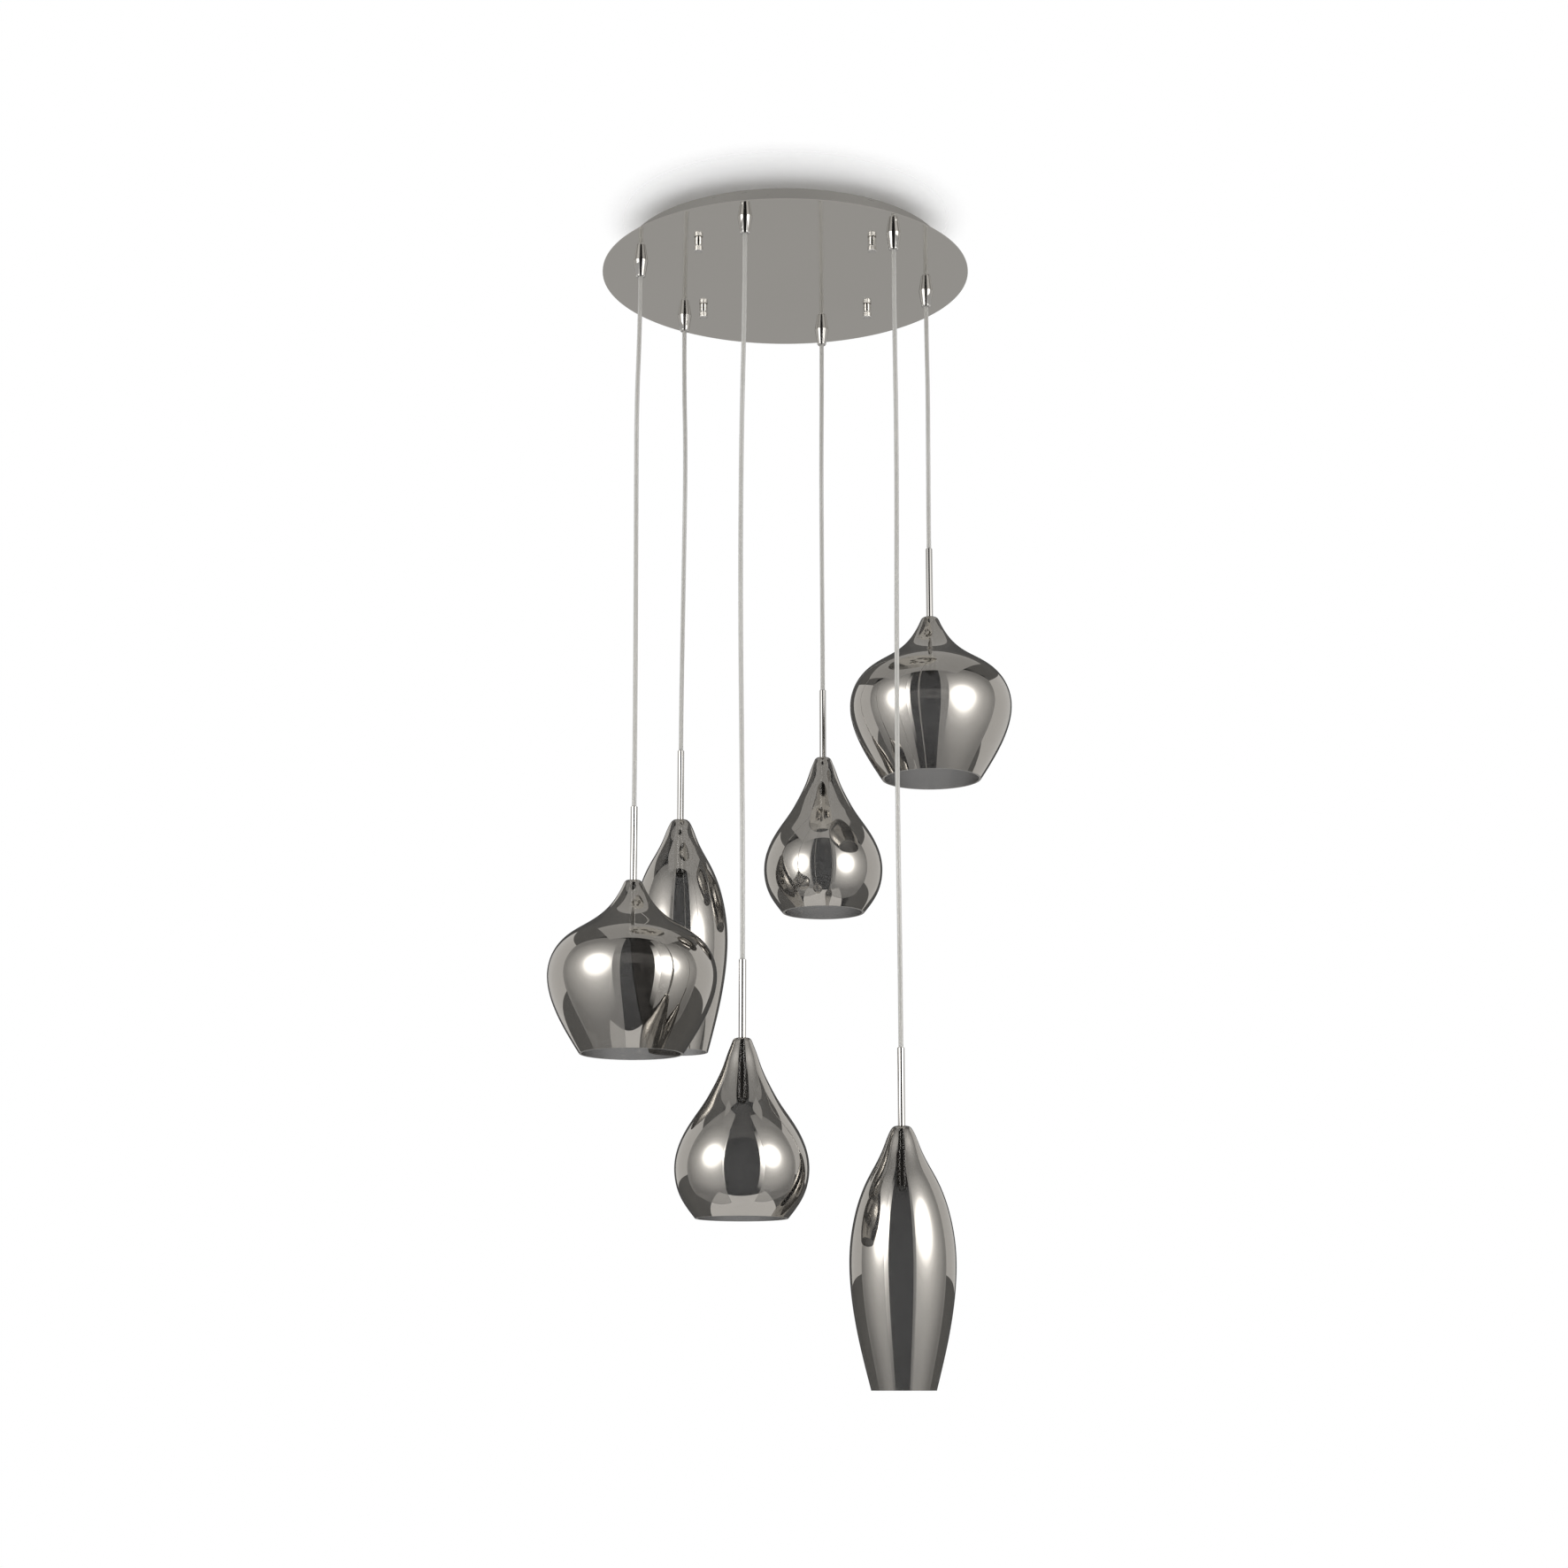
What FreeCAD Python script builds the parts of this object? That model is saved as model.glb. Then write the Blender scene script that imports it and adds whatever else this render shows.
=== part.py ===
"""Cluster pendant: a round mirror-polished ceiling plate with six smoked glass shades on clear cords.

Millimetres, +Z up. The origin is the centre of the canopy on the ceiling plane, and the lamp hangs
below it. -Y is the side that faces the room's viewer, +X is to the right.
"""
import FreeCAD, Part
import math
import os

V = FreeCAD.Vector
UP = V(0, 0, 1)

# ---------------------------------------------------------------- canopy
PLATE_DIA = 500.0
PLATE_THICK = 1.5
PLATE_OVERHANG = 32.5
PAN_HEIGHT = 28.5
PAN_WALL = 1.0
PAN_FLOOR = 1.2
PAN_BEND = 4.0

# ---------------------------------------------------------------- ceiling bracket
STRAP_WIDTH = 24.0
STRAP_THICK = 2.0
STRAP_END = 14.0
STUD_INSET = 39.16
SCREW_OFFSET = 50.0
SCREW_HOLE_DIA = 5.5
CABLE_HOLE_DIA = 16.0
HUB_DIA = 60.0

# ---------------------------------------------------------------- studs and their nuts
STUD_DIA = 5.0
STUD_FOOT_DIA = 10.0
STUD_FOOT_THICK = 1.5
STUD_OUT = 10.0
STUD_NUT_WIDTH = 8.0
STUD_NUT_THICK = 4.0
CAP_DIA = 12.0
CAP_HEIGHT = 14.0
CAP_COLLAR_DIA = 11.2
CAP_COLLAR_HEIGHT = 5.2
CAP_GROOVE_DIA = 8.6
CAP_GROOVE_HEIGHT = 1.6
CAP_CHAMFER = 1.1
CAP_FLUTES = 12
CAP_FLUTE_DIA = 1.6

# ---------------------------------------------------------------- cord grips
EXIT_INSET = 15.0
GRIP_TOP_DIA = 19.6
GRIP_LOW_DIA = 12.6
GRIP_MOUTH_DIA = 9.6
GRIP_CONE = 22.0
GRIP_MOUTH = 1.8
NIPPLE_DIA = 10.0
NIPPLE_LENGTH = 10.0
GRIP_NUT_WIDTH = 14.0
GRIP_NUT_THICK = 4.0
SET_SCREW_DIA = 3.0
SET_SCREW_DEPTH = 16.5
SET_SCREW_SUNK = 0.7
SET_SCREW_TURN = -17.0

# ---------------------------------------------------------------- supply parts inside the canopy
DRIVER_LENGTH = 120.0
DRIVER_WIDTH = 42.0
DRIVER_HEIGHT = 20.0
DRIVER_Y = 48.0
DRIVER_ROUND = 2.5
BLOCK_PITCH = 10.0
BLOCK_WAYS = 6
BLOCK_WIDTH = 17.0
BLOCK_HEIGHT = 13.0
BLOCK_Y = -55.0
BLOCK_SCREW_DIA = 4.0

# ---------------------------------------------------------------- cord, stem and lamp of each pendant
CORD_DIA = 6.0
CORD_IN_GRIP = 16.0
CORD_IN_STEM = 10.0
STEM_DIA = 9.0
STEM_ABOVE = 97.0
STEM_BELOW = 33.0
STEM_CHAMFER = 0.5
CORES_BORE_DIA = 4.0
NUT_DIA = 13.0
NUT_THICK = 5.0
HOLDER_DIA = 15.6
HOLDER_LENGTH = 44.0
HOLDER_WALL = 0.8
HOLDER_CAP = 3.0
SOCKET_LENGTH = 16.0
PIN_DIA = 1.0
PIN_PITCH = 4.0
PIN_LENGTH = 6.0
PINCH_WIDTH = 8.0
PINCH_THICK = 3.6
PINCH_LENGTH = 5.0
CAPSULE_DIA = 10.0
CAPSULE_LENGTH = 26.0

# ---------------------------------------------------------------- glass
GLASS_WALL = 2.6
GLASS_TOP_FLAT = 7.0
ARC_TOLERANCE = 0.8
HEIGHTS = {"onion": 224.0, "teardrop": 218.0, "spindle": 318.0}

# outline of each shade at the height above: depth below its top and outer radius, down to the rim
OUTLINES = {
    "onion": [(0.5, 9.2), (2.4, 11.4), (5.8, 13.1), (14, 17.0), (30, 27.0), (46, 42.5), (61, 64.5),
              (76, 86.5), (96, 102.0), (122, 108.5), (150, 104.5), (184, 90.2), (224, 66.2)],
    "teardrop": [(0.5, 9.2), (2.4, 11.2), (5.8, 12.7), (14, 16.0), (34, 23.0), (58, 34.0), (80, 46.5),
                 (100, 60.3), (122, 73.0), (146, 80.6), (168, 81.0), (190, 75.0), (218, 56.2)],
    "spindle": [(0.5, 9.4), (2.2, 11.8), (5.8, 14.2), (13, 17.6), (27, 23.0), (44, 31.0), (64, 42.0), (90, 53.0),
                (120, 60.8), (155, 65.0), (190, 64.4), (225, 60.4), (258, 54.3), (318, 39.6)],
}

# ---------------------------------------------------------------- fits
SLIP = 0.3
THREAD = 0.02
CORD_PLAY = 0.15
PIN_PLAY = 0.05

# number, angle of its exit on the plate, shade, depth of the glass top below the plate, and the
# cord's bends between grip and stem: share of its free length, and its stray to the right as a
# share of CORD_STRAY
CORD_STRAY = 4.0
PENDANTS = [
    (1, 195, "onion", 852, [(0.12, 0), (0.26, -0.8), (0.46, -0.5), (0.70, -0.175), (0.88, 0)]),
    (2, 135, "spindle", 732, [(0.13, 0), (0.32, 0.8), (0.56, 0.5), (0.78, 0.15), (0.89, 0)]),
    (3, 255, "teardrop", 1074, [(0.12, 0), (0.28, -0.9), (0.50, -1.1), (0.72, -0.45), (0.88, 0)]),
    (4, 75, "teardrop", 633, [(0.15, 0), (0.38, -0.275), (0.64, -0.15), (0.86, 0)]),
    (5, 315, "spindle", 1176, [(0.11, 0), (0.27, 0.375), (0.48, -0.15), (0.71, -0.4), (0.90, 0)]),
    (6, 15, "onion", 471, [(0.16, 0), (0.36, 0.25), (0.62, 0.125), (0.84, 0)]),
]
ARC_SHARE = 0.45

# ---------------------------------------------------------------- worked out from the above
PAN_DIA = PLATE_DIA - 2 * PLATE_OVERHANG
EXIT_RADIUS = PAN_DIA / 2 - EXIT_INSET
STUD_RADIUS = EXIT_RADIUS - STUD_INSET
PLATE_FACE_Z = -(PAN_HEIGHT + PLATE_THICK)
PAN_FLOOR_Z = -(PAN_HEIGHT - PAN_FLOOR)
GRIP_LENGTH = GRIP_CONE + GRIP_MOUTH
MOUTH_Z = PLATE_FACE_Z - GRIP_LENGTH
CORD_BORE_DIA = CORD_DIA + 2 * CORD_PLAY
DIAGONALS = (45, 135, 225, 315)
made = {}


def save(name, shape):
    """Write one node's solids to its own file."""
    if not shape.isValid():
        raise ValueError(name + " is not a valid shape")
    made[name] = shape
    shape.exportStep("parts/" + name + ".step")


def rod(dia, height, at, way=UP):
    return Part.makeCylinder(dia / 2, height, at, way)


def turned(points, centre):
    """Revolve an outline of (radius, z) points about the vertical line through centre."""
    corners = [V(r, 0, z) for r, z in points]
    face = Part.Face(Part.makePolygon(corners + corners[:1]))
    solid = face.revolve(V(0, 0, 0), UP, 360)
    solid.translate(centre)
    return solid


def hexagon(width, thick, bore, at):
    """A hexagon nut lying flat, its lower face at the given point."""
    radius = width / math.sqrt(3)
    corners = [V(radius * math.cos(math.radians(a)), radius * math.sin(math.radians(a)), 0)
               for a in range(0, 360, 60)]
    nut = Part.Face(Part.makePolygon(corners + corners[:1])).extrude(UP * thick)
    nut.translate(at)
    return nut.cut(rod(bore, thick, at))


def group(solids):
    return Part.makeCompound(solids)


def polar(radius, angle, z=0.0):
    return V(radius * math.cos(math.radians(angle)), radius * math.sin(math.radians(angle)), z)


STUDS = [polar(STUD_RADIUS, a) for a in DIAGONALS]
EXITS = {number: polar(EXIT_RADIUS, angle) for number, angle, *_ in PENDANTS}


# ---------------------------------------------------------------- canopy
def through_holes(low, height):
    """The holes that the studs and the grips' nipples pass through."""
    holes = [rod(STUD_DIA + 2 * SLIP, height, V(p.x, p.y, low)) for p in STUDS]
    return holes + [rod(NIPPLE_DIA + 2 * SLIP, height, V(p.x, p.y, low)) for p in EXITS.values()]


def canopy_plate():
    plate = rod(PLATE_DIA, PLATE_THICK, V(0, 0, PLATE_FACE_Z))
    return plate.cut(through_holes(PLATE_FACE_Z, PLATE_THICK))


def canopy_pan():
    """A shallow spun tray that stands between the ceiling and the mirror plate."""
    low = -PAN_HEIGHT
    radius = PAN_DIA / 2
    blank = rod(PAN_DIA, PAN_HEIGHT, V(0, 0, low))
    lowest = [e for e in blank.Edges if abs(e.CenterOfMass.z - low) < 0.01 and len(e.Vertexes) == 1]
    outside = blank.makeFillet(PAN_BEND, lowest)
    hollow = rod(2 * (radius - PAN_WALL), PAN_HEIGHT, V(0, 0, PAN_FLOOR_Z))
    floor = [e for e in hollow.Edges if abs(e.CenterOfMass.z - PAN_FLOOR_Z) < 0.01 and len(e.Vertexes) == 1]
    inside = hollow.makeFillet(PAN_BEND - PAN_WALL, floor)
    return outside.cut(inside).cut(through_holes(low, PAN_HEIGHT))


def ceiling_bracket():
    """Two crossed steel straps on a round hub, with the ceiling screws' holes on the diagonals."""
    low = V(0, 0, -STRAP_THICK)
    cross = rod(HUB_DIA, STRAP_THICK, low)
    for angle in DIAGONALS:
        strap = Part.makeBox(STUD_RADIUS, STRAP_WIDTH, STRAP_THICK, V(0, -STRAP_WIDTH / 2, -STRAP_THICK))
        strap.rotate(V(0, 0, 0), UP, angle)
        tip = polar(STUD_RADIUS, angle, -STRAP_THICK)
        cross = cross.fuse([strap, rod(2 * STRAP_END, STRAP_THICK, tip)])
    holes = [rod(CABLE_HOLE_DIA, STRAP_THICK, low)]
    for angle in DIAGONALS:
        holes.append(rod(SCREW_HOLE_DIA, STRAP_THICK, polar(SCREW_OFFSET * math.sqrt(2), angle, -STRAP_THICK)))
    return cross.removeSplitter().cut(holes)


def stud(at):
    """A weld stud: its foot on the strap, its shank through the canopy into the cap nut."""
    top = -STRAP_THICK
    low = PLATE_FACE_Z - STUD_OUT
    outline = [(0, top), (STUD_FOOT_DIA / 2, top), (STUD_FOOT_DIA / 2, top - STUD_FOOT_THICK),
               (STUD_DIA / 2, top - STUD_FOOT_THICK), (STUD_DIA / 2, low), (0, low)]
    return turned(outline, at)


def cap_nut(at):
    """A turned cap nut: a collar on the plate, a groove, and a fluted head."""
    groove_z = -CAP_COLLAR_HEIGHT
    head_z = groove_z - CAP_GROOVE_HEIGHT
    edge = CAP_DIA / 2
    outline = [(0, 0), (CAP_COLLAR_DIA / 2, 0), (CAP_COLLAR_DIA / 2, groove_z),
               (CAP_GROOVE_DIA / 2, groove_z), (CAP_GROOVE_DIA / 2, head_z),
               (edge - CAP_CHAMFER / 2, head_z), (edge, head_z - CAP_CHAMFER / 2),
               (edge, CAP_CHAMFER - CAP_HEIGHT), (edge - CAP_CHAMFER, -CAP_HEIGHT), (0, -CAP_HEIGHT)]
    body = turned(outline, V(0, 0, 0))
    head_height = CAP_HEIGHT + head_z
    cuts = [rod(STUD_DIA + 2 * THREAD, STUD_OUT + SLIP, V(0, 0, -STUD_OUT - SLIP))]
    for k in range(CAP_FLUTES):
        flute_at = polar(edge + CAP_FLUTE_DIA / 4, 360 * k / CAP_FLUTES, -CAP_HEIGHT)
        cuts.append(rod(CAP_FLUTE_DIA, head_height, flute_at))
    body = body.cut(cuts)
    body.translate(V(at.x, at.y, PLATE_FACE_Z))
    return body


# ---------------------------------------------------------------- cord grips
def cone_radius(depth):
    """The grip's radius this far below the plate."""
    return (GRIP_TOP_DIA + (GRIP_LOW_DIA - GRIP_TOP_DIA) * depth / GRIP_CONE) / 2


def screw_way(number):
    """The horizontal direction of a grip's set screw, away from the cord."""
    angle = {n: a for n, a, *_ in PENDANTS}[number]
    return polar(1.0, angle + SET_SCREW_TURN)


def cord_grip(number):
    """A turned cone with its nipple, bored for the cord and cross-drilled for the set screw."""
    at = EXITS[number]
    outline = [(0, NIPPLE_LENGTH), (NIPPLE_DIA / 2, NIPPLE_LENGTH), (NIPPLE_DIA / 2, 0),
               (GRIP_TOP_DIA / 2, 0), (GRIP_LOW_DIA / 2, -GRIP_CONE),
               (GRIP_MOUTH_DIA / 2, -GRIP_LENGTH), (0, -GRIP_LENGTH)]
    body = turned(outline, V(at.x, at.y, PLATE_FACE_Z))
    bore = rod(CORD_BORE_DIA, GRIP_LENGTH + NIPPLE_LENGTH, V(at.x, at.y, MOUTH_Z))
    hole_at = V(at.x, at.y, PLATE_FACE_Z - SET_SCREW_DEPTH)
    hole = rod(SET_SCREW_DIA + 2 * THREAD, GRIP_TOP_DIA, hole_at, screw_way(number))
    return body.cut([bore, hole])


def set_screw(number):
    at = EXITS[number]
    way = screw_way(number)
    inner = CORD_BORE_DIA / 2
    outer = cone_radius(SET_SCREW_DEPTH) - SET_SCREW_SUNK
    start = V(at.x, at.y, PLATE_FACE_Z - SET_SCREW_DEPTH) + way * inner
    return rod(SET_SCREW_DIA, outer - inner, start, way)


def grip_nut(number):
    at = EXITS[number]
    return hexagon(GRIP_NUT_WIDTH, GRIP_NUT_THICK, NIPPLE_DIA + 2 * THREAD, V(at.x, at.y, PAN_FLOOR_Z))


# ---------------------------------------------------------------- supply parts
def lamp_driver():
    """The low-voltage supply, a sealed box that lies on the pan's floor."""
    box = Part.makeBox(DRIVER_LENGTH, DRIVER_WIDTH, DRIVER_HEIGHT,
                       V(-DRIVER_LENGTH / 2, DRIVER_Y - DRIVER_WIDTH / 2, PAN_FLOOR_Z))
    upright = [e for e in box.Edges if abs(e.tangentAt(e.FirstParameter).z) > 0.9]
    return box.makeFillet(DRIVER_ROUND, upright)


def terminal_block():
    """A strip of screw terminals with a wire way through each and a screw well above it."""
    length = BLOCK_PITCH * BLOCK_WAYS
    block = Part.makeBox(length, BLOCK_WIDTH, BLOCK_HEIGHT,
                         V(-length / 2, BLOCK_Y - BLOCK_WIDTH / 2, PAN_FLOOR_Z))
    cuts = []
    for k in range(BLOCK_WAYS):
        x = (k + 0.5 - BLOCK_WAYS / 2) * BLOCK_PITCH
        wire_at = V(x, BLOCK_Y - BLOCK_WIDTH / 2, PAN_FLOOR_Z + BLOCK_HEIGHT / 3)
        cuts.append(rod(BLOCK_SCREW_DIA, BLOCK_WIDTH, wire_at, V(0, 1, 0)))
        for side in (-1, 1):
            well_at = V(x, BLOCK_Y + side * BLOCK_WIDTH / 4, PAN_FLOOR_Z + BLOCK_HEIGHT / 3)
            cuts.append(rod(BLOCK_SCREW_DIA, BLOCK_HEIGHT, well_at))
    return block.cut(cuts)


# ---------------------------------------------------------------- one pendant
def shade(kind, at):
    """Blown glass: the outline's tangent arcs, one wall thick, turned about the stem and cut level at the rim."""
    outline = OUTLINES[kind]
    scale = HEIGHTS[kind] / outline[-1][0]
    curve = Part.BSplineCurve()
    curve.interpolate(Points=[V(GLASS_TOP_FLAT, 0, 0)] + [V(r, 0, -d) * scale for d, r in outline])
    arcs = [arc.toShape() for arc in curve.toBiArcs(ARC_TOLERANCE)]
    flat = Part.makeLine(V(STEM_DIA / 2 + SLIP, 0, 0), curve.StartPoint)
    past_rim = curve.EndPoint + curve.tangent(curve.LastParameter)[0] * 2 * GLASS_WALL
    tail = Part.makeLine(curve.EndPoint, past_rim)
    outer = Part.Wire(Part.__sortEdges__([flat] + arcs + [tail]))
    wall = outer.makeOffset2D(-GLASS_WALL, join=2, fill=True, openResult=True)
    solid = wall.revolve(V(0, 0, 0), UP, 360)
    below_rim = V(0, 0, curve.EndPoint.z - 3 * GLASS_WALL)
    solid = solid.cut(rod(3 * curve.EndPoint.x, 3 * GLASS_WALL, below_rim))
    solid.translate(at)
    return solid


def stem(at):
    """The tube that carries the glass: bored for the cord at its top, and for the cord's two cores below."""
    edge = STEM_DIA / 2
    bore = CORD_BORE_DIA / 2
    shoulder = STEM_ABOVE - CORD_IN_STEM - SLIP
    outline = [(bore, STEM_ABOVE), (edge - STEM_CHAMFER, STEM_ABOVE), (edge, STEM_ABOVE - STEM_CHAMFER),
               (edge, -STEM_BELOW), (CORES_BORE_DIA / 2, -STEM_BELOW), (CORES_BORE_DIA / 2, shoulder),
               (bore, shoulder)]
    return turned(outline, at)


def stem_nut(at):
    """The round nut on the stem, inside the glass, that the glass sits on."""
    top = V(at.x, at.y, at.z - GLASS_WALL - NUT_THICK)
    return rod(NUT_DIA, NUT_THICK, top).cut(rod(STEM_DIA + 2 * THREAD, NUT_THICK, top))


def lampholder(at):
    """A thin cup screwed on the stem's lower end, open below."""
    top = HOLDER_CAP - STEM_BELOW
    low = top - HOLDER_LENGTH
    edge = HOLDER_DIA / 2
    bore = STEM_DIA / 2 + THREAD
    outline = [(bore, top), (edge - STEM_CHAMFER, top), (edge, top - STEM_CHAMFER), (edge, low),
               (edge - HOLDER_WALL, low), (edge - HOLDER_WALL, top - HOLDER_CAP), (bore, top - HOLDER_CAP)]
    return turned(outline, at)


def pins(at, length, dia):
    return [rod(dia, length, V(at.x + side * PIN_PITCH / 2, at.y, at.z)) for side in (-1, 1)]


SOCKET_DEPTH = STEM_BELOW + SOCKET_LENGTH


def socket(at):
    """The ceramic insert with its two pin holes, against the cup's cap."""
    dia = HOLDER_DIA - 2 * HOLDER_WALL - 2 * THREAD
    low = V(at.x, at.y, at.z - SOCKET_DEPTH)
    return rod(dia, SOCKET_LENGTH, low).cut(pins(low, PIN_LENGTH + SLIP, PIN_DIA + 2 * PIN_PLAY))


def bulb(at):
    """A two-pin capsule lamp: pins, flat pinch and round-ended capsule."""
    top = V(at.x, at.y, at.z - SOCKET_DEPTH)
    pinch_low = top.z - PINCH_LENGTH
    radius = CAPSULE_DIA / 2
    pinch = Part.makeBox(PINCH_WIDTH, PINCH_THICK, PINCH_LENGTH + radius,
                         V(at.x - PINCH_WIDTH / 2, at.y - PINCH_THICK / 2, pinch_low - radius))
    straight = CAPSULE_LENGTH - 2 * radius
    low_ball = V(at.x, at.y, pinch_low - radius - straight)
    high_ball = V(at.x, at.y, pinch_low - radius)
    capsule = rod(CAPSULE_DIA, straight, low_ball)
    capsule = capsule.fuse([Part.makeSphere(radius, low_ball), Part.makeSphere(radius, high_ball), pinch])
    return capsule.fuse(pins(top, PIN_LENGTH, PIN_DIA)).removeSplitter()


def cord_points(at, top_of_stem, bends):
    """The cord's route, from inside the grip to inside the stem."""
    first = MOUTH_Z + CORD_IN_GRIP
    last = top_of_stem - CORD_IN_STEM
    free = first - last
    route = [V(at.x, at.y, first)]
    route += [V(at.x + stray * CORD_STRAY, at.y, first - share * free) for share, stray in bends]
    return route + [V(at.x, at.y, last)]


def cord(route):
    """A round cord: straight runs joined by tangent arcs, each as large as its two runs allow."""
    edges, radii = [], []
    start = route[0]
    for before, corner, after in zip(route, route[1:], route[2:]):
        back, ahead = before - corner, after - corner
        shorter = min(back.Length, ahead.Length)
        half_turn = (math.pi - back.getAngle(ahead)) / 2
        radii.append(ARC_SHARE * shorter / math.tan(half_turn))
        back.normalize()
        ahead.normalize()
        begin, end = corner + back * ARC_SHARE * shorter, corner + ahead * ARC_SHARE * shorter
        inward = (back + ahead).normalize()
        middle = corner + inward * radii[-1] * (1 / math.cos(half_turn) - 1)
        edges += [Part.LineSegment(start, begin).toShape(), Part.Arc(begin, middle, end).toShape()]
        start = end
    edges.append(Part.LineSegment(start, route[-1]).toShape())
    path = Part.Wire(edges)
    profile = Part.Wire(Part.makeCircle(CORD_DIA / 2, route[0], route[1] - route[0]))
    tube = path.makePipeShell([profile], True, False)
    section = math.pi * CORD_DIA ** 2 / 4
    print("cord length %.1f, least radius %.0f, volume over section x length %.5f"
          % (path.Length, min(radii), tube.Volume / (section * path.Length)))
    return tube


def pendant(number, kind, drop, bends):
    exit_at = EXITS[number]
    at = V(exit_at.x, exit_at.y, PLATE_FACE_Z - drop)
    tag = "_%d" % number
    save("cord" + tag, cord(cord_points(at, at.z + STEM_ABOVE, bends)))
    save("stem" + tag, stem(at))
    save("stem_nut" + tag, stem_nut(at))
    save("shade" + tag, shade(kind, at))
    save("lampholder" + tag, lampholder(at))
    save("socket" + tag, socket(at))
    save("bulb" + tag, bulb(at))


def main():
    os.makedirs("parts", exist_ok=True)
    save("ceiling_bracket", ceiling_bracket())
    save("bracket_studs", group([stud(p) for p in STUDS]))
    nut_bore = STUD_DIA + 2 * THREAD
    save("stud_nuts", group([hexagon(STUD_NUT_WIDTH, STUD_NUT_THICK, nut_bore, V(p.x, p.y, PAN_FLOOR_Z))
                             for p in STUDS]))
    save("cap_nuts", group([cap_nut(p) for p in STUDS]))
    save("canopy_pan", canopy_pan())
    save("canopy_plate", canopy_plate())
    save("lamp_driver", lamp_driver())
    save("terminal_block", terminal_block())
    for number in EXITS:
        save("cord_grip_%d" % number, cord_grip(number))
    save("grip_nuts", group([grip_nut(n) for n in EXITS]))
    save("set_screws", group([set_screw(n) for n in EXITS]))
    for number, angle, kind, drop, bends in PENDANTS:
        pendant(number, kind, drop, bends)
    print(len(made), "nodes,", sum(len(s.Solids) for s in made.values()), "solids")


main()
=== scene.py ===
# %% [markdown]
# # A cluster pendant in smoked mirror glass
# The lamp is a round mirror plate under the ceiling with six glass shades on clear cords. Its rigid
# parts come ready made, as a frame of exact solids, so this lesson dresses that frame: it gives
# the metal its polish, draws the cords, and turns the glass shades as thin half-mirrored shells.
# The glass is what people look at, and glass of this kind shows the room more than itself. Half of
# the work is therefore the studio: what stands left and right of the lamp is what the glass shows.

# %% Load the frame
import math
import bmesh
import bpy
import numpy as np
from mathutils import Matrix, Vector


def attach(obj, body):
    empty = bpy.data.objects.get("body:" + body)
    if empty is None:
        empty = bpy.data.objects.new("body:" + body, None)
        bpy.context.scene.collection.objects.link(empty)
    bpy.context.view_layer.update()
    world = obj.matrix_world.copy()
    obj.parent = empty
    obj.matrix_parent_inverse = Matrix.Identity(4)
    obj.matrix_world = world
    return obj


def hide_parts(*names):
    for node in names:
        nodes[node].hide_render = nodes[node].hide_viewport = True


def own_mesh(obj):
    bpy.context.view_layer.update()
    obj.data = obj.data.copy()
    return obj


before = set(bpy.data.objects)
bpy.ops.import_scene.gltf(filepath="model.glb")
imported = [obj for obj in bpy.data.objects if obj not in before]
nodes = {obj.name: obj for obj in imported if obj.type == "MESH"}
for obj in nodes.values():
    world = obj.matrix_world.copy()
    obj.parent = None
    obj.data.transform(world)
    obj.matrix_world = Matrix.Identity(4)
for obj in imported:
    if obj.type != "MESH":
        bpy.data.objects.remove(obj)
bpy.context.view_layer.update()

# %% [markdown]
# ## The camera
# The lamp was photographed from about eye level, well below the plate, with the camera tipped up.
# The height of the vanishing line gives the camera's height and its tilt, and the way the plate's
# ellipse narrows gives its distance. A long lens keeps the six shades near one size.

# %% Place the camera
SENSOR = 36.0
IMAGE_SIZE = 1772
FOCAL_PIXELS = 3136
CAMERA_AT = (0.0, -3.566, -1.534)
TIP_UP = 12.5
OBJECT_RIGHT_PIXELS = 1.4

camera_data = bpy.data.cameras.new("studio_camera")
camera_data.sensor_width = SENSOR
camera_data.lens = SENSOR * FOCAL_PIXELS / IMAGE_SIZE
camera_data.shift_x = -OBJECT_RIGHT_PIXELS / IMAGE_SIZE
camera = bpy.data.objects.new("studio_camera", camera_data)
camera.location = CAMERA_AT
camera.rotation_euler = (math.radians(90 + TIP_UP), 0, 0)
bpy.context.scene.collection.objects.link(camera)
bpy.context.scene.camera = camera
bpy.context.scene.view_settings.view_transform = "Standard"
print("lens %.1f mm" % camera_data.lens)

# %% [markdown]
# ## Helpers for materials
# Every finish is a small node tree. A finish starts with Blender's Principled shader. Noise in the
# object's own coordinates breaks up its roughness and its colour, since no real surface is even.
# The object's coordinates are the right ones here, because they stay with a piece when it swings.
# Only the sockets that nothing is plugged into are given a value.

# %% A new material with one Principled shader
def finish(name, **sockets):
    """A material, its tree and its shader; in a socket's name, an underscore stands for a space."""
    material = bpy.data.materials.new(name)
    material.use_nodes = True
    tree = material.node_tree
    shader = tree.nodes["Principled BSDF"]
    for socket, value in sockets.items():
        shader.inputs[socket.replace("_", " ")].default_value = value
    return material, tree, shader


# %% Noise, and three ways to use a value
def noise(tree, scale, detail=3.0, stretch=(1, 1, 1)):
    """Noise in the object's own coordinates, so it stays with the piece."""
    where = tree.nodes.new("ShaderNodeTexCoord")
    place = tree.nodes.new("ShaderNodeMapping")
    place.inputs["Scale"].default_value = stretch
    texture = tree.nodes.new("ShaderNodeTexNoise")
    texture.inputs["Scale"].default_value = scale
    texture.inputs["Detail"].default_value = detail
    tree.links.new(where.outputs["Object"], place.inputs["Vector"])
    tree.links.new(place.outputs["Vector"], texture.inputs["Vector"])
    return texture.outputs["Fac"]


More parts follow.
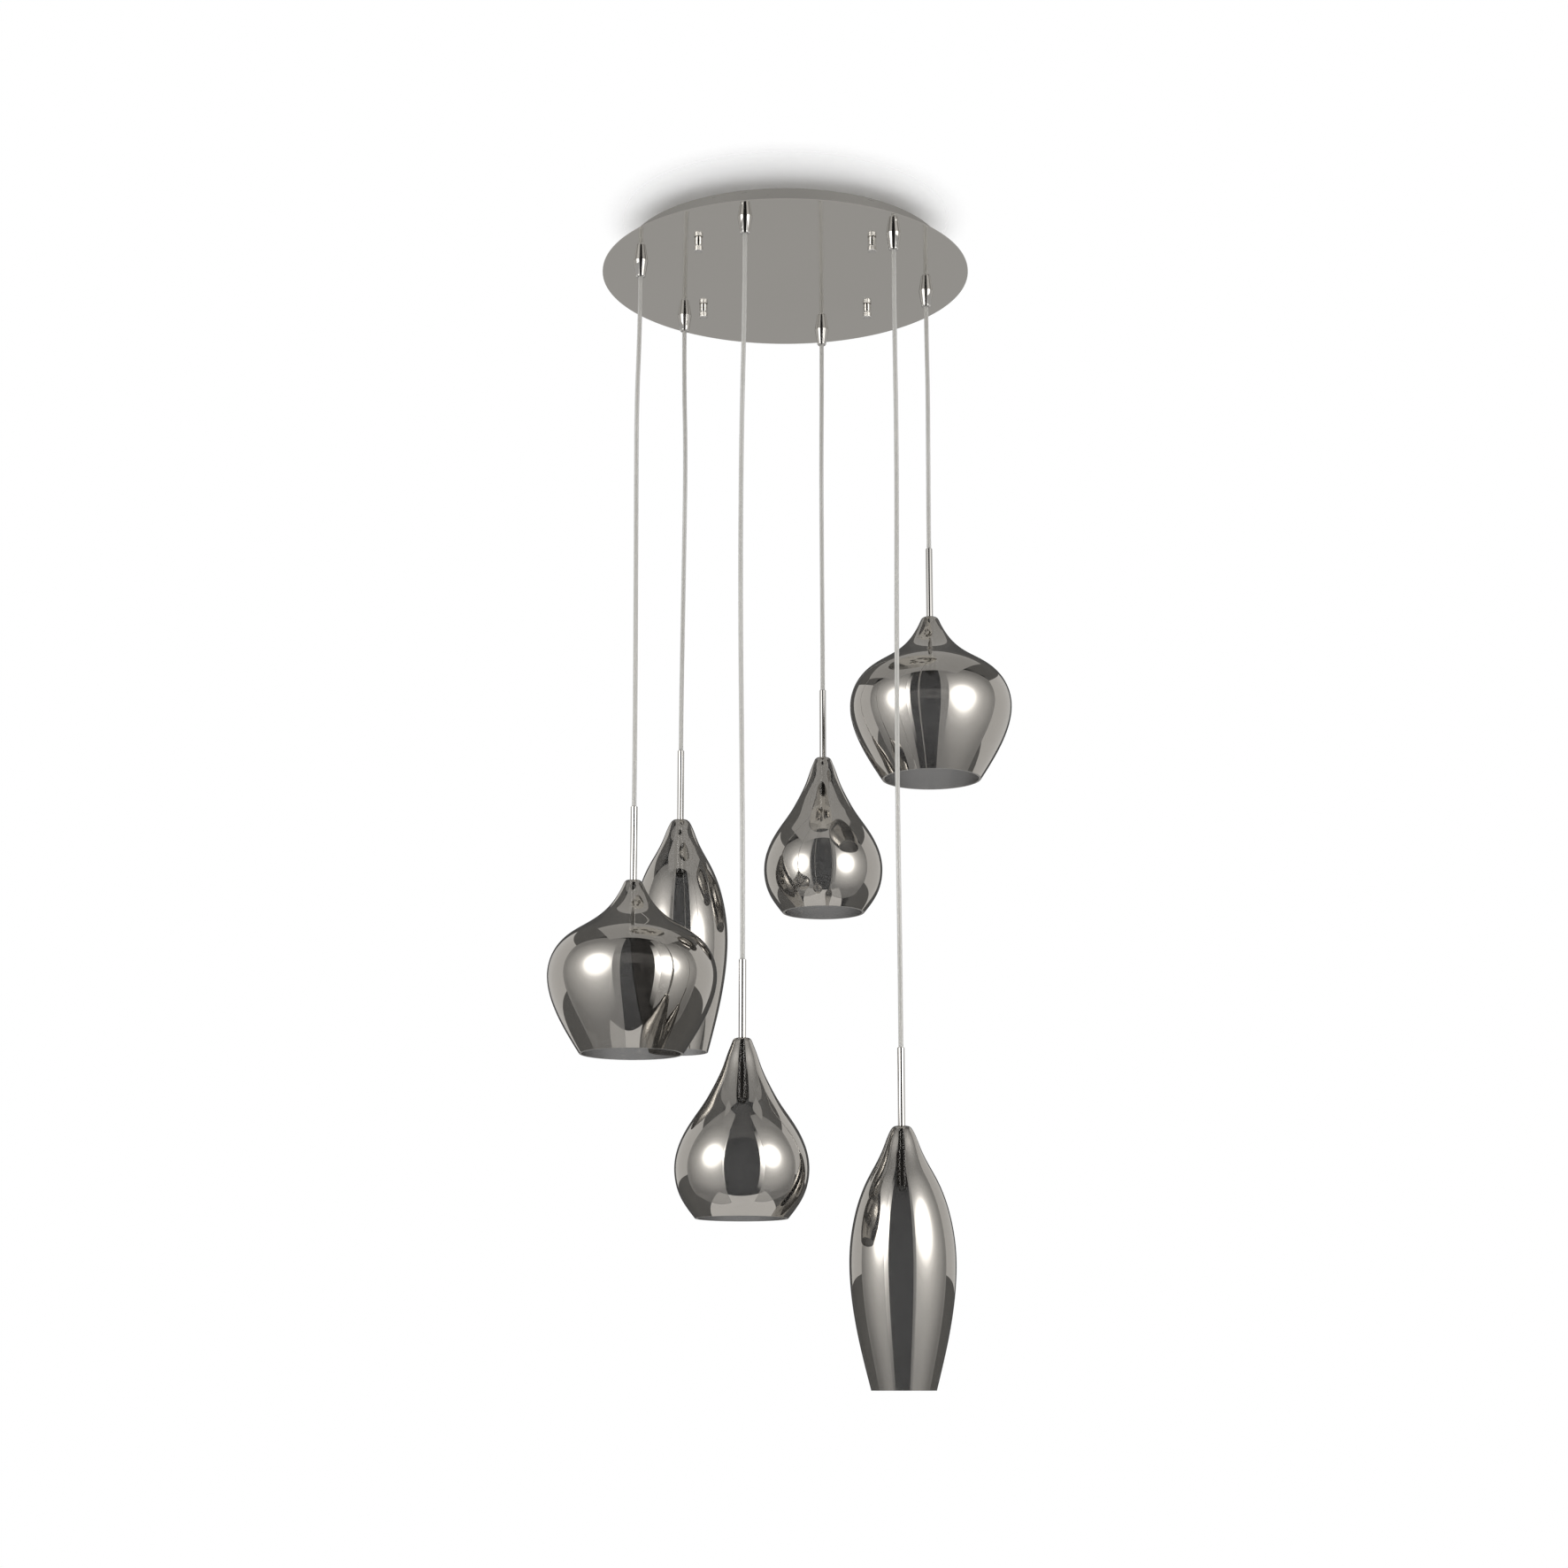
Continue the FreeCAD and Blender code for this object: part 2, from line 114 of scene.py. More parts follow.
def between(tree, value, low, high, socket):
    """Spread a 0 to 1 value from low to high and plug it into a socket."""
    spread = tree.nodes.new("ShaderNodeMapRange")
    spread.inputs["To Min"].default_value = low
    spread.inputs["To Max"].default_value = high
    tree.links.new(value, spread.inputs["Value"])
    tree.links.new(spread.outputs["Result"], socket)


def tints(tree, value, dark, pale, socket, start=0.0, end=1.0):
    """Blend from one colour at start to another at end by a 0 to 1 value."""
    ramp = tree.nodes.new("ShaderNodeValToRGB")
    for element, position, colour in zip(ramp.color_ramp.elements, (start, end), (dark, pale)):
        element.position = position
        element.color = (*colour, 1)
    tree.links.new(value, ramp.inputs["Fac"])
    tree.links.new(ramp.outputs["Color"], socket)


def relief(tree, value, depth, shader):
    """Let a value raise the surface by a depth in metres."""
    bump = tree.nodes.new("ShaderNodeBump")
    bump.inputs["Distance"].default_value = depth
    tree.links.new(value, bump.inputs["Height"])
    tree.links.new(bump.outputs["Normal"], shader.inputs["Normal"])


# %% [markdown]
# ## The metals
# The plate is polished stainless steel, a little warmer than chrome. The grips, stems, lampholders
# and cap nuts are chrome over brass, smooth and hard-edged. Chrome sends back little more than half
# of the light, so its colour is a plain grey, and its sparkle comes from what it mirrors. The
# bracket, studs and plain nuts inside the canopy are zinc-plated steel with the cloudy look that
# plating has.

# %% Metal finishes
def plate_steel():
    material, tree, shader = finish("plate_mirror_steel", Metallic=1.0)
    grain = noise(tree, scale=3.0)
    between(tree, grain, 0.04, 0.08, shader.inputs["Roughness"])
    tints(tree, grain, (0.585, 0.57, 0.54), (0.615, 0.60, 0.57), shader.inputs["Base Color"])
    return material


def pan_steel():
    material, tree, shader = finish("pan_spun_steel", Base_Color=(0.42, 0.41, 0.39, 1), Metallic=1.0)
    between(tree, noise(tree, scale=40.0, stretch=(1, 1, 12)), 0.24, 0.36, shader.inputs["Roughness"])
    return material


def chrome_plating():
    material, tree, shader = finish("chrome_plating", Metallic=1.0)
    grain = noise(tree, scale=60.0)
    between(tree, grain, 0.03, 0.08, shader.inputs["Roughness"])
    tints(tree, grain, (0.55, 0.54, 0.525), (0.61, 0.60, 0.585), shader.inputs["Base Color"])
    return material


def zinc_plating():
    material, tree, shader = finish("zinc_plating", Metallic=1.0)
    cloud = noise(tree, scale=90.0, detail=6.0)
    between(tree, cloud, 0.28, 0.45, shader.inputs["Roughness"])
    tints(tree, cloud, (0.50, 0.51, 0.52), (0.70, 0.70, 0.68), shader.inputs["Base Color"])
    return material


PLATE_STEEL = plate_steel()
PAN_STEEL = pan_steel()
CHROME = chrome_plating()
ZINC = zinc_plating()
print("metals:", [material.name for material in (PLATE_STEEL, PAN_STEEL, CHROME, ZINC)])

# %% [markdown]
# ## Plastic, ceramic and lamp glass
# The driver's case and the terminal block are moulded plastic with a fine spark-eroded texture. The
# sockets are unglazed ceramic, slightly speckled. The lamp capsules are clear quartz, so most of
# their light passes through and bends by quartz's own index. They could also be given a filament,
# but a capsule is 10 mm across and hides in its lampholder, so the clear shell is enough.

# %% Other finishes
def moulded_plastic():
    material, tree, shader = finish("moulded_white_plastic")
    skin = noise(tree, scale=900.0)
    between(tree, skin, 0.48, 0.62, shader.inputs["Roughness"])
    tints(tree, noise(tree, scale=12.0), (0.77, 0.77, 0.74), (0.83, 0.83, 0.80), shader.inputs["Base Color"])
    relief(tree, skin, 0.00005, shader)
    return material


def socket_ceramic():
    material, tree, shader = finish("socket_ceramic")
    speckle = noise(tree, scale=700.0, detail=5.0)
    tints(tree, speckle, (0.78, 0.75, 0.69), (0.90, 0.89, 0.85), shader.inputs["Base Color"])
    relief(tree, speckle, 0.00004, shader)
    return material


def capsule_quartz():
    material, tree, shader = finish("capsule_quartz", Base_Color=(0.92, 0.92, 0.90, 1),
                                    Transmission_Weight=0.85, IOR=1.46)
    between(tree, noise(tree, scale=200.0), 0.02, 0.08, shader.inputs["Roughness"])
    return material


PLASTIC = moulded_plastic()
CERAMIC = socket_ceramic()
QUARTZ = capsule_quartz()
print("others:", [material.name for material in (PLASTIC, CERAMIC, QUARTZ)])

# %% [markdown]
# ## Dress the rigid parts that keep their solid
# The frame's solids already have the right shape for what is punched, pressed, moulded or hidden, so
# they only take their finish. Each node is matched to a finish by the start of its name. The cords, the
# glass and the turned chrome aren't in this list, because the lesson makes them afresh below.

# %% Give the frame's nodes their finishes
FINISH_OF = {
    "canopy_plate": PLATE_STEEL,
    "canopy_pan": PAN_STEEL,
    "ceiling_bracket": ZINC,
    "bracket_studs": ZINC,
    "stud_nuts": ZINC,
    "grip_nuts": ZINC,
    "set_screws": ZINC,
    "lamp_driver": PLASTIC,
    "terminal_block": PLASTIC,
    "socket": CERAMIC,
    "bulb": QUARTZ,
}

dressed = []
for node_name, node in nodes.items():
    for start, material in FINISH_OF.items():
        if node_name.startswith(start):
            node.data.materials.clear()
            node.data.materials.append(material)
            dressed.append(node_name)
print("dressed", len(dressed), "of", len(nodes), "nodes")

# %% [markdown]
# ## The pendants' facts
# Everything hangs from six exits on one circle. A pendant's place follows from its exit's angle and
# from how far its glass hangs below the plate, and the rest is the same for all of them. A cord
# leaves its grip at the grip's mouth, which is also where the pendant swings.

# %% Sizes of the pendants, in metres
PLATE_FACE_Z = -0.030
EXIT_RADIUS = 0.2025
GRIP_CONE = 0.022
GRIP_MOUTH = 0.0018
MOUTH_Z = PLATE_FACE_Z - GRIP_CONE - GRIP_MOUTH
STEM_DIA = 0.009
STEM_ABOVE = 0.097
CORD_DIA = 0.006
CORD_IN_GRIP = 0.016
CORD_IN_STEM = 0.010
GLASS_WALL = 0.0026
SLIP = 0.0003

# number: angle of the exit, shade, drop of the glass top below the plate
PENDANTS = {
    1: (195, "onion", 0.852),
    2: (135, "spindle", 0.732),
    3: (255, "teardrop", 1.074),
    4: (75, "teardrop", 0.633),
    5: (315, "spindle", 1.176),
    6: (15, "onion", 0.471),
}


def exit_of(number):
    angle = math.radians(PENDANTS[number][0])
    return EXIT_RADIUS * math.cos(angle), EXIT_RADIUS * math.sin(angle)


def glass_top(number):
    return PLATE_FACE_Z - PENDANTS[number][2]


def cord_end(number):
    return glass_top(number) + STEM_ABOVE - CORD_IN_STEM


print("glass tops:", {number: round(glass_top(number), 3) for number in PENDANTS})

# %% [markdown]
# ## The cords
# Each cord carries its shade, so it hangs almost straight, but it was coiled in its box and keeps a
# memory of that: it strays a few millimetres sideways on the way down. A handful of points per cord
# says where. They are control points of a smooth NURBS line, which passes near them, not through
# them, as a stiff cord would. The tube is then a mesh around points read from that line, because
# the cord has to shorten when its lamp is raised, and only a mesh can be squashed.

# %% Routes: share of the free length, and how far the cord strays to the right
CORD_BENDS = {
    1: [(0.12, 0.0), (0.26, -0.0032), (0.46, -0.0020), (0.70, -0.0007), (0.88, 0.0)],
    2: [(0.13, 0.0), (0.32, 0.0032), (0.56, 0.0020), (0.78, 0.0006), (0.89, 0.0)],
    3: [(0.12, 0.0), (0.28, -0.0036), (0.50, -0.0044), (0.72, -0.0018), (0.88, 0.0)],
    4: [(0.15, 0.0), (0.38, -0.0011), (0.64, -0.0006), (0.86, 0.0)],
    5: [(0.11, 0.0), (0.27, 0.0015), (0.48, -0.0006), (0.71, -0.0016), (0.90, 0.0)],
    6: [(0.16, 0.0), (0.36, 0.0010), (0.62, 0.0005), (0.84, 0.0)],
}


def route(number):
    x, y = exit_of(number)
    first, last = MOUTH_Z + CORD_IN_GRIP, cord_end(number)
    inner = [(x + stray, y, first - share * (first - last)) for share, stray in CORD_BENDS[number]]
    return [(x, y, first)] + inner + [(x, y, last)]


print("control points:", {number: len(route(number)) for number in PENDANTS})

# %% A smooth line through the route
LINE_ORDER = 3
LINE_STEPS = 12


def line_through(name, points):
    """Points read from a smooth NURBS line with these control points."""
    curve = bpy.data.curves.new(name, "CURVE")
    curve.dimensions = "3D"
    curve.resolution_u = LINE_STEPS
    spline = curve.splines.new("NURBS")
    spline.points.add(len(points) - 1)
    for control, point in zip(spline.points, points):
        control.co = (*point, 1)
    spline.order_u = LINE_ORDER
    spline.use_endpoint_u = True
    holder = bpy.data.objects.new(name, curve)
    bpy.context.scene.collection.objects.link(holder)
    mesh = bpy.data.meshes.new_from_object(holder)
    line = [tuple(vertex.co) for vertex in mesh.vertices]
    bpy.data.objects.remove(holder)
    bpy.data.meshes.remove(mesh)
    return line


cord_lines = {number: line_through("cord_line_%d" % number, route(number)) for number in PENDANTS}
print("points on each line:", {number: len(line) for number, line in cord_lines.items()})

# %% Tubes around a line
def tube(name, line, radius, material, sides=16, offset=0.0, turns=0.0, phase=0.0):
    """A closed tube round a nearly vertical line; offset and turns lay it beside the line as a twist."""
    mesh = bpy.data.meshes.new(name)
    vertices, faces = [], []
    rings = len(line)
    for k, point in enumerate(line):
        lay = phase + 2 * math.pi * turns * k / (rings - 1)
        centre = Vector(point) + Vector((math.cos(lay), math.sin(lay), 0)) * offset
        for s in range(sides):
            a = 2 * math.pi * s / sides
            vertices.append(centre + Vector((math.cos(a), math.sin(a), 0)) * radius)
    for k in range(rings - 1):
        for s in range(sides):
            t = (s + 1) % sides
            faces.append((k * sides + s, k * sides + t, (k + 1) * sides + t, (k + 1) * sides + s))
    faces.append(tuple(range(sides)))
    faces.append(tuple(range(rings * sides - 1, (rings - 1) * sides - 1, -1)))
    mesh.from_pydata(vertices, [], faces)
    for face in mesh.polygons:
        face.use_smooth = len(face.vertices) == 4
    mesh.materials.append(material)
    piece = bpy.data.objects.new(name, mesh)
    bpy.context.scene.collection.objects.link(piece)
    return piece


# %% [markdown]
# ## What the cord is made of
# A clear PVC jacket, slightly yellowed, round two tinned strands. Full glass would be slow to trace
# and noisy at this size, so the jacket is a milky skin: half see-through down its middle, glossy,
# and closed towards its edge, where the eye looks through more plastic. Layer Weight gives that edge.

# %% Cord finishes
def facing(tree, blend):
    """0 where the surface looks at the eye, 1 where it turns away."""
    edge = tree.nodes.new("ShaderNodeLayerWeight")
    edge.inputs["Blend"].default_value = blend
    return edge.outputs["Facing"]


def clear_pvc():
    material, tree, shader = finish("clear_pvc", Roughness=0.15, IOR=1.5)
    between(tree, facing(tree, 0.35), 0.55, 0.92, shader.inputs["Alpha"])
    tints(tree, noise(tree, scale=25.0), (0.60, 0.59, 0.57), (0.72, 0.71, 0.69), shader.inputs["Base Color"])
    return material


def tinned_strand():
    material, tree, shader = finish("tinned_strand", Base_Color=(0.55, 0.53, 0.46, 1), Metallic=0.2)
    between(tree, noise(tree, scale=300.0, stretch=(1, 1, 0.05)), 0.25, 0.5, shader.inputs["Roughness"])
    return material


PVC = clear_pvc()
STRAND = tinned_strand()
print("cord:", PVC.name, "over", STRAND.name)

# %% Make the six cords
STRAND_RADIUS = 0.0010
STRAND_OFFSET = 0.0013
STRAND_SIDES = 8
STRAND_STARTS = {"a": 0.3, "b": 0.3 + math.pi}
TWIST_PITCH = 1.2

for number, line in cord_lines.items():
    x, y = exit_of(number)
    length = sum((Vector(a) - Vector(b)).length for a, b in zip(line, line[1:]))
    jacket = tube("cord_jacket_%d" % number, line, CORD_DIA / 2, PVC)
    strands = [tube("cord_strand_%d_%s" % (number, side), line, STRAND_RADIUS, STRAND, STRAND_SIDES,
                    STRAND_OFFSET, length / TWIST_PITCH, start) for side, start in STRAND_STARTS.items()]
    for piece in [jacket] + strands:
        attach(piece, "drop_%d" % number)
        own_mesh(piece)
    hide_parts("cord_%d" % number)
    print("cord", number, "is", round(length, 3), "m long")

# %% [markdown]
# ## Turning on a lathe
# The glass and the chrome are surfaces of revolution, so all that a piece needs is its outline and
# one turn about its axis. An outline is closed: it runs down the outside and back up the bore or
# the inner wall, so that every piece has a real thickness.

# %% Spin an outline
def spin(name, outline, at, materials, zones, sides, corner):
    """Turn a closed outline of (radius, height) points about the vertical line through at.

    zones gives the material of each span, and an edge that bends by more than corner degrees
    stays sharp in the shading.
    """
    mesh = bpy.data.meshes.new(name)
    count = len(outline)
    vertices, faces = [], []
    for s in range(sides):
        a = 2 * math.pi * s / sides
        vertices += [(at[0] + r * math.cos(a), at[1] + r * math.sin(a), at[2] + z) for r, z in outline]
    for s in range(sides):
        t = (s + 1) % sides
        for k in range(count):
            m = (k + 1) % count
            faces.append((s * count + k, s * count + m, t * count + m, t * count + k))
    mesh.from_pydata(vertices, [], faces)
    for index, face in enumerate(mesh.polygons):
        face.use_smooth = True
        face.material_index = zones[index % count]
    for material in materials:
        mesh.materials.append(material)
    shell = bmesh.new()
    shell.from_mesh(mesh)
    bmesh.ops.recalc_face_normals(shell, faces=shell.faces)
    for edge in shell.edges:
        edge.smooth = edge.calc_face_angle(0) < math.radians(corner)
    shell.to_mesh(mesh)
    shell.free()
    piece = bpy.data.objects.new(name, mesh)
    bpy.context.scene.collection.objects.link(piece)
    return piece


# %% [markdown]
# ## Turned metal
# Stems, nuts, lampholders and grips came off a lathe, and chrome shows every flat of a faceted
# cylinder, so these are spun afresh with a fine step from the same sizes as the solids. Each sharp
# corner gets a small broken edge, which is where a real turned part catches its brightest line. The
# corners stay sharp in the shading: with smooth ones, the long straight sides would take on a false
# tilt from their ends, and a stem would mirror the ceiling instead of the dark in front of it.

# %% Broken edges
FINE_EDGE = 0.00025
TURNED_CORNER = 12


def broken(points):
    """The closed outline with each corner cut back by a small chamfer."""
    result = []
    for before, corner, after in zip(points[-1:] + points[:-1], points, points[1:] + points[:1]):
        corner = Vector(corner)
        for other in (Vector(before), Vector(after)):
            step = other - corner
            result.append(tuple(corner + step.normalized() * min(FINE_EDGE, step.length / 3)))
    return result


def turn_chrome(name, corners, at, sides):
    outline = broken(corners)
    return spin(name, outline, at, [CHROME], [0] * len(outline), sides, TURNED_CORNER)


# %% Stem, stem nut and lampholder: radius and height from the glass top
CORD_SLIP = 0.00015
BORE = CORD_DIA / 2 + CORD_SLIP
STEM_BELOW = 0.033
STEM_EDGE = 0.0005
CORES_BORE_DIA = 0.004
NUT_DIA = 0.013
NUT_THICK = 0.005
HOLDER_DIA = 0.0156
HOLDER_LENGTH = 0.044
HOLDER_WALL = 0.0008
HOLDER_CAP = 0.003


def stem_outline():
    edge, cores, shoulder = STEM_DIA / 2, CORES_BORE_DIA / 2, STEM_ABOVE - CORD_IN_STEM - SLIP
    return [(BORE, STEM_ABOVE), (edge - STEM_EDGE, STEM_ABOVE), (edge, STEM_ABOVE - STEM_EDGE),
            (edge, -STEM_BELOW), (cores, -STEM_BELOW), (cores, shoulder), (BORE, shoulder)]


def nut_outline():
    top, low = -GLASS_WALL, -GLASS_WALL - NUT_THICK
    return [(STEM_DIA / 2, top), (NUT_DIA / 2, top), (NUT_DIA / 2, low), (STEM_DIA / 2, low)]


def holder_outline():
    top, edge = HOLDER_CAP - STEM_BELOW, HOLDER_DIA / 2
    low = top - HOLDER_LENGTH
    return [(STEM_DIA / 2, top), (edge, top), (edge, low), (edge - HOLDER_WALL, low),
            (edge - HOLDER_WALL, top - HOLDER_CAP), (STEM_DIA / 2, top - HOLDER_CAP)]


PENDANT_METAL = (("stem_tube", "stem", stem_outline()),
                 ("round_nut", "stem_nut", nut_outline()),
                 ("lampholder_cup", "lampholder", holder_outline()))
print("stem from", STEM_ABOVE, "above the glass top to", STEM_BELOW, "below it")

# %% Cord grip: radius and height from the plate's face
GRIP_TOP_DIA = 0.0196
GRIP_LOW_DIA = 0.0126
GRIP_MOUTH_DIA = 0.0096
NIPPLE_DIA = 0.010
NIPPLE_LENGTH = 0.010


def grip_outline():
    nipple, mouth = NIPPLE_DIA / 2, -GRIP_CONE - GRIP_MOUTH
    return [(BORE, NIPPLE_LENGTH), (nipple, NIPPLE_LENGTH), (nipple, 0), (GRIP_TOP_DIA / 2, 0),
            (GRIP_LOW_DIA / 2, -GRIP_CONE), (GRIP_MOUTH_DIA / 2, mouth), (BORE, mouth)]


print("grip outline has", len(grip_outline()), "corners")

# %% [markdown]
# ## The set screw's hole
# A small screw in the side of each grip clamps the cord. Its head sits below the surface, so the
# grip needs a real hole. A Boolean modifier with a drill-shaped cutter makes it, and the cut mesh is
# kept, so that the cutter can go.

# %% Drill a piece
HOLE_SIDES = 32


def drill(piece, start, way, length, dia):
    """Cut a round hole into a piece, as a drill would, and keep the cut mesh."""
    turn = Vector((0, 0, 1)).rotation_difference(Vector(way))
    bit = bmesh.new()
    bmesh.ops.create_cone(bit, cap_ends=True, segments=HOLE_SIDES, radius1=dia / 2, radius2=dia / 2,
                          depth=length)
    bmesh.ops.rotate(bit, verts=bit.verts, cent=(0, 0, 0), matrix=turn.to_matrix())
    bmesh.ops.translate(bit, verts=bit.verts, vec=Vector(start) + Vector(way) * length / 2)
    mesh = bpy.data.meshes.new("drill_bit")
    bit.to_mesh(mesh)
    bit.free()
    cutter = bpy.data.objects.new("drill_bit", mesh)
    bpy.context.scene.collection.objects.link(cutter)
    cut = piece.modifiers.new("set_screw_hole", "BOOLEAN")
    cut.operation = "DIFFERENCE"
    cut.object = cutter
    bpy.context.view_layer.update()
    drilled = bpy.data.meshes.new_from_object(piece.evaluated_get(bpy.context.evaluated_depsgraph_get()))
    piece.modifiers.clear()
    piece.data = drilled
    bpy.data.objects.remove(cutter)


# %% Turn and place the pendants' metal and the grips
PENDANT_SIDES = 64
GRIP_SIDES = 96
SCREW_DIA = 0.00304
SCREW_BELOW_PLATE = 0.0165
SCREW_TURN = -17

for number, (angle, _, _) in PENDANTS.items():
    x, y = exit_of(number)
    for label, node, corners in PENDANT_METAL:
        piece = turn_chrome("%s_%d" % (label, number), corners, (x, y, glass_top(number)), PENDANT_SIDES)
        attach(piece, "pendant_%d" % number)
        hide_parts("%s_%d" % (node, number))
    grip = turn_chrome("grip_cone_%d" % number, grip_outline(), (x, y, PLATE_FACE_Z), GRIP_SIDES)
    out = math.radians(angle + SCREW_TURN)
    drill(grip, (x, y, PLATE_FACE_Z - SCREW_BELOW_PLATE), (math.cos(out), math.sin(out), 0), GRIP_TOP_DIA,
          SCREW_DIA)
    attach(grip, "canopy")
    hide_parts("cord_grip_%d" % number)
    print("pendant", number, "has its stem, nut, lampholder and grip")

# %% [markdown]
# ## Cap nuts
# Four small turned nuts hold the plate on studs: a collar against the plate, a groove, and a head
# with shallow flutes for the fingers. The head is spun round first, and the flutes are then pressed
# in by moving its points towards the axis, which is less work than cutting twelve grooves. The
# closed end keeps a hair's breadth of radius on the axis, so that all of its faces stay four-sided.

# %% Cap nut outline: radius and height from the plate's face
AXIS = 0.00002
STUD_BORE = 0.0026
STUD_OUT = 0.010
CAP_DIA = 0.012
CAP_HEIGHT = 0.014
CAP_COLLAR_DIA = 0.0112
CAP_COLLAR_HEIGHT = 0.0052
CAP_GROOVE_DIA = 0.0086
CAP_GROOVE_HEIGHT = 0.0016
CAP_CHAMFER = 0.0011
CAP_HEAD_Z = -CAP_COLLAR_HEIGHT - CAP_GROOVE_HEIGHT


def cap_nut_outline():
    collar, groove, edge = CAP_COLLAR_DIA / 2, CAP_GROOVE_DIA / 2, CAP_DIA / 2
    return [(STUD_BORE, 0), (collar, 0), (collar, -CAP_COLLAR_HEIGHT), (groove, -CAP_COLLAR_HEIGHT),
            (groove, CAP_HEAD_Z), (edge, CAP_HEAD_Z), (edge, CAP_CHAMFER - CAP_HEIGHT),
            (edge - CAP_CHAMFER, -CAP_HEIGHT), (AXIS, -CAP_HEIGHT),
            (AXIS, -STUD_OUT), (STUD_BORE, -STUD_OUT)]


print("cap nut outline has", len(cap_nut_outline()), "corners")

# %% Turn and flute the four cap nuts
STUD_RADIUS = 0.16334
STUD_ANGLES = (45, 135, 225, 315)
CAP_SIDES = 96
CAP_FLUTES = 12
CAP_FLUTE_DEPTH = 0.0004


def flute(nut, at):
    """Press shallow flutes into the side of a cap nut's head."""
    for vertex in nut.data.vertices:
        arm = vertex.co - Vector(at)
        if arm.z < CAP_HEAD_Z + FINE_EDGE and arm.xy.length > CAP_GROOVE_DIA / 2 + FINE_EDGE:
            wave = max(0, math.cos(CAP_FLUTES * math.atan2(arm.y, arm.x))) ** 2
            press = 1 - CAP_FLUTE_DEPTH * wave / arm.xy.length
            vertex.co = Vector(at) + Vector((arm.x * press, arm.y * press, arm.z))


for number, degrees in enumerate(STUD_ANGLES, 1):
    angle = math.radians(degrees)
    at = (STUD_RADIUS * math.cos(angle), STUD_RADIUS * math.sin(angle), PLATE_FACE_Z)
    nut = turn_chrome("cap_nut_%d" % number, cap_nut_outline(), at, CAP_SIDES)
    flute(nut, at)
    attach(nut, "canopy")
    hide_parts("cap_nuts")
    print(nut.name, "has", len(nut.data.polygons), "faces")

# %% [markdown]
# ## The glass outlines
# A blown shade's outline is a natural cubic spline through a few measured points: its curvature
# changes smoothly, and in a mirror any jump in curvature would show as a kink in the reflections.
# The inner wall is the same line moved in by the glass's thickness.

# %% Outlines: depth below the top and radius, in millimetres
OUTLINES = {
    "onion": [(0.5, 9.2), (2.4, 11.4), (5.8, 13.1), (14, 17.0), (30, 27.0), (46, 42.5), (61, 64.5),
              (76, 86.5), (96, 102.0), (122, 108.5), (150, 104.5), (184, 90.2), (224, 66.2)],
    "teardrop": [(0.5, 9.2), (2.4, 11.2), (5.8, 12.7), (14, 16.0), (34, 23.0), (58, 34.0), (80, 46.5),
                 (100, 60.3), (122, 73.0), (146, 80.6), (168, 81.0), (190, 75.0), (218, 56.2)],
    "spindle": [(0.5, 9.4), (2.2, 11.8), (5.8, 14.2), (13, 17.6), (27, 23.0), (44, 31.0), (64, 42.0),
                (90, 53.0), (120, 60.8), (155, 65.0), (190, 64.4), (225, 60.4), (258, 54.3), (318, 39.6)],
}
for kind, points in OUTLINES.items():
    print(kind, "is", points[-1][0], "mm tall and", 2 * max(radius for _, radius in points), "mm across")

# %% A natural cubic spline
def natural_spline(points, count):
    """Points and unit tangents along a natural cubic spline, spaced evenly along it."""
    knots = np.array(points, float)
    spans = np.linalg.norm(np.diff(knots, axis=0), axis=1)
    at = np.concatenate([[0], np.cumsum(spans)])
    size = len(knots)
    system = np.eye(size)
    right = np.zeros((size, 2))
    for i in range(1, size - 1):
        system[i, i - 1:i + 2] = spans[i - 1], 2 * (spans[i - 1] + spans[i]), spans[i]
        right[i] = 6 * ((knots[i + 1] - knots[i]) / spans[i] - (knots[i] - knots[i - 1]) / spans[i - 1])
    second = np.linalg.solve(system, right)
    line, tangents = [], []
    for t in np.linspace(0, at[-1], count):
        i = min(int(np.searchsorted(at, t, side="right")) - 1, size - 2)
        a, b, h = at[i + 1] - t, t - at[i], spans[i]
        start = knots[i] / h - second[i] * h / 6
        end = knots[i + 1] / h - second[i + 1] * h / 6
        line.append(second[i] * a ** 3 / (6 * h) + second[i + 1] * b ** 3 / (6 * h) + start * a + end * b)
        slope = second[i + 1] * b ** 2 / (2 * h) - second[i] * a ** 2 / (2 * h) + end - start
        tangents.append(slope / np.linalg.norm(slope))
    return np.array(line), np.array(tangents)


# %% [markdown]
# ## Smoked half-mirror glass
# The outside carries a vacuum-deposited metal film, thin enough to see through. Such a film mirrors
# about a third of the light and lets about a fifth through. A Principled shader with full Metallic
# and an Alpha below 1 does exactly that: the metal part mirrors, and the rest is open. Towards the
# silhouette the film turns darker and closes: partly because the eye looks along the wall, through
# far more smoked glass, and partly as a painted dark outline for the dark edges of the thick wall.
# The inner wall has no film: it adds a thin smoke and a clear gloss.

# %% Glass finishes
def mirror_film():
    material, tree, shader = finish("smoked_mirror_film", Metallic=1.0, Roughness=0.02)
    away = facing(tree, 0.5)
    # Darker towards the silhouette: partly the longer path through smoked glass, partly a painted dark
    # outline.
    tints(tree, away, (0.50, 0.48, 0.45), (0.07, 0.066, 0.062), shader.inputs["Base Color"], 0.73, 0.93)
    between(tree, away, 0.70, 0.98, shader.inputs["Alpha"])
    return material


def inner_glass():
    material, tree, shader = finish("smoked_inner_wall", Base_Color=(0.135, 0.122, 0.105, 1),
                                    Roughness=0.03, IOR=1.5)
    between(tree, facing(tree, 0.3), 0.25, 0.9, shader.inputs["Alpha"])
    return material


def cut_rim():
    material, tree, shader = finish("ground_rim", Base_Color=(0.30, 0.29, 0.27, 1), Metallic=0.5)
    between(tree, noise(tree, scale=500.0), 0.12, 0.3, shader.inputs["Roughness"])
    return material


